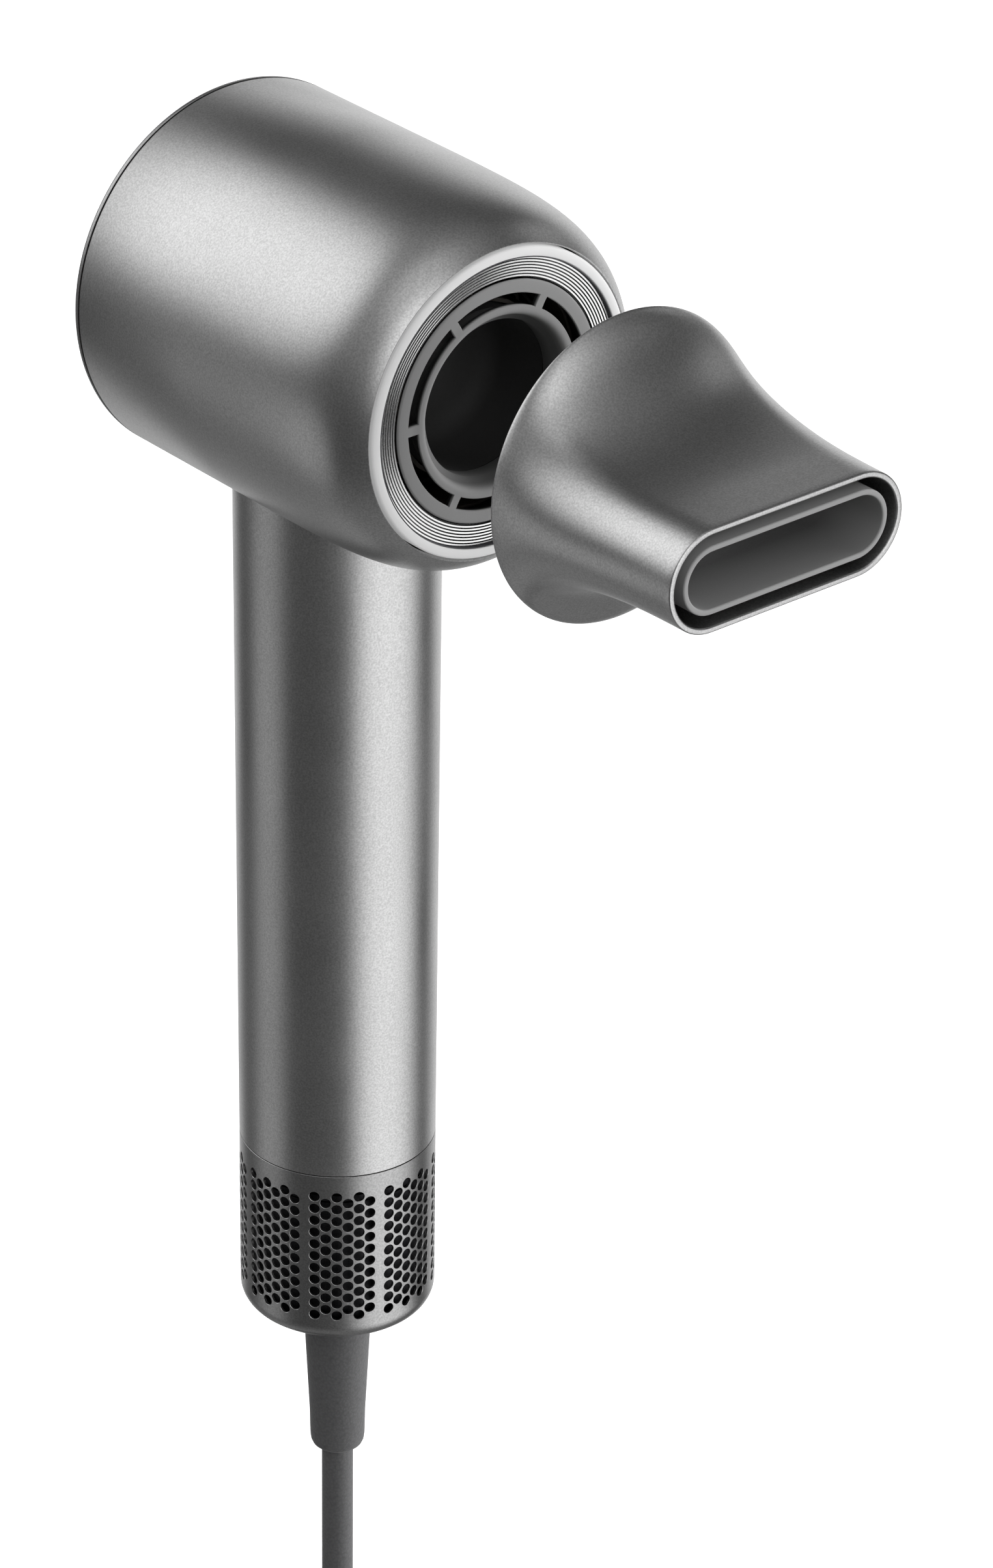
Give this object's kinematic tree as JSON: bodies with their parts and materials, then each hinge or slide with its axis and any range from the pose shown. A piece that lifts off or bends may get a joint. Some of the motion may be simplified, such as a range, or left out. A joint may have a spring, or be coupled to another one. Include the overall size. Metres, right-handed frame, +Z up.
{
  "type": "hair dryer",
  "caption": "High-speed hair dryer with a cylindrical barrel on a round handle, a perforated inlet cover, controls on the grip, a pull-off slot nozzle and a mains cord.",
  "frame": {"origin": "middle of the hand grip, on the handle's axis", "axes": "+Z up along the handle, -Y the way the air leaves the barrel, +X to the right seen from behind"},
  "size_m": [0.0728, 0.1704, 0.5292],
  "materials": {
    "shell_metal": "satin metallic paint with fine grain",
    "cover_metal": "satin metallic paint, darker",
    "ring_white": "satin translucent white",
    "ring_steel": "turned steel",
    "grille_grey": "matte grey",
    "cup_black": "matte black",
    "frame_plastic": "moulded heat-resistant plastic",
    "mica": "dark pressed mica sheet",
    "wire_steel": "oxidised drawn wire",
    "copper": "enamelled copper",
    "board_green": "circuit board",
    "part_dark": "dark moulded plastic",
    "machined_steel": "machined",
    "magnet": "nickel-plated magnet",
    "rubber_grey": "fine leather-like grain",
    "rubber_black": "matte rubber",
    "mesh_steel": "blackened woven steel mesh",
    "plug_black": "moulded",
    "button_metal": "satin"
  },
  "bodies": {
    "root": {"main_shell": "shell_metal", "rear_cover": "cover_metal", "rear_trim_ring": "ring_steel", "front_light_ring": "ring_white", "led_board": "board_green", "grooved_ring": "ring_steel", "dock_magnet_ring": "magnet", "outlet_grille": "grille_grey", "center_cup": "cup_black", "duct_liner": "frame_plastic", "front_bulkhead": "frame_plastic", "mica_sleeve": "mica", "heater_frame": "mica", "heater_coil_1": "wire_steel", "heater_coil_2": "wire_steel", "thermostat": "part_dark", "thermal_fuse": "machined_steel", "ion_generator": "part_dark", "ion_needle": "machined_steel", "heater_lead": "rubber_black", "control_board": "board_green", "slide_switch_body": "part_dark", "tact_switch_1": "part_dark", "tact_switch_2": "part_dark", "motor_sleeve": "rubber_black", "motor_can": "machined_steel", "diffuser": "frame_plastic", "motor_bracket": "machined_steel", "stator_core": "machined_steel", "stator_winding": "copper", "bearing_lower": "machined_steel", "bearing_upper": "machined_steel", "inlet_cage": "frame_plastic", "cord_clamp": "frame_plastic", "clamp_screw_1": "machined_steel", "clamp_screw_2": "machined_steel", "strain_relief": "rubber_grey", "mains_lead_1": "rubber_black", "mains_lead_2": "rubber_black", "cord_lead": "rubber_grey", "cord_hank": "rubber_grey", "cord_tie": "plug_black", "cord_tail": "rubber_grey", "plug_body": "plug_black", "plug_pin_1": "machined_steel", "plug_pin_2": "machined_steel"},
    "inlet_cover": {"inlet_cover": "cover_metal", "cover_steel_ring": "mesh_steel", "filter_mesh": "mesh_steel"},
    "rotor": {"rotor_shaft": "machined_steel", "rotor_magnet": "magnet", "impeller": "machined_steel"},
    "nozzle_carrier": {"nozzle_dock_ring": "part_dark", "nozzle_steel_ring": "machined_steel"},
    "nozzle": {"nozzle_shell": "shell_metal", "nozzle_duct": "grille_grey"},
    "power_switch": {"power_switch": "button_metal"},
    "speed_button": {"speed_button": "button_metal"},
    "temperature_button": {"temperature_button": "button_metal"}
  },
  "joints": [
    {"name": "nozzle_pull", "type": "slide", "parent": "root", "child": "nozzle_carrier", "axis": [0, 1, 0], "range_m": [0, 0.0316]},
    {"name": "nozzle_turn", "type": "hinge", "parent": "nozzle_carrier", "child": "nozzle", "pos_m": [0, -0.0785, 0.095], "axis": [0, 1, 0], "continuous": true},
    {"name": "cover_pull", "type": "slide", "parent": "root", "child": "inlet_cover", "axis": [0, 0, -1], "range_m": [0, 0.045]},
    {"name": "rotor_spin", "type": "hinge", "parent": "root", "child": "rotor", "pos_m": [0, 0, -0.04], "axis": [0, 0, 1], "continuous": true},
    {"name": "power_slide", "type": "slide", "parent": "root", "child": "power_switch", "axis": [0, 0, 1], "range_m": [0, 0.005]},
    {"name": "speed_press", "type": "slide", "parent": "root", "child": "speed_button", "axis": [0, -1, 0], "range_m": [0, 0.0012], "stiffness_N_per_m": 1500, "springref_m": -0.0004},
    {"name": "temperature_press", "type": "slide", "parent": "root", "child": "temperature_button", "axis": [0, -1, 0], "range_m": [0, 0.0012], "stiffness_N_per_m": 1500, "springref_m": -0.0004}
  ]
}
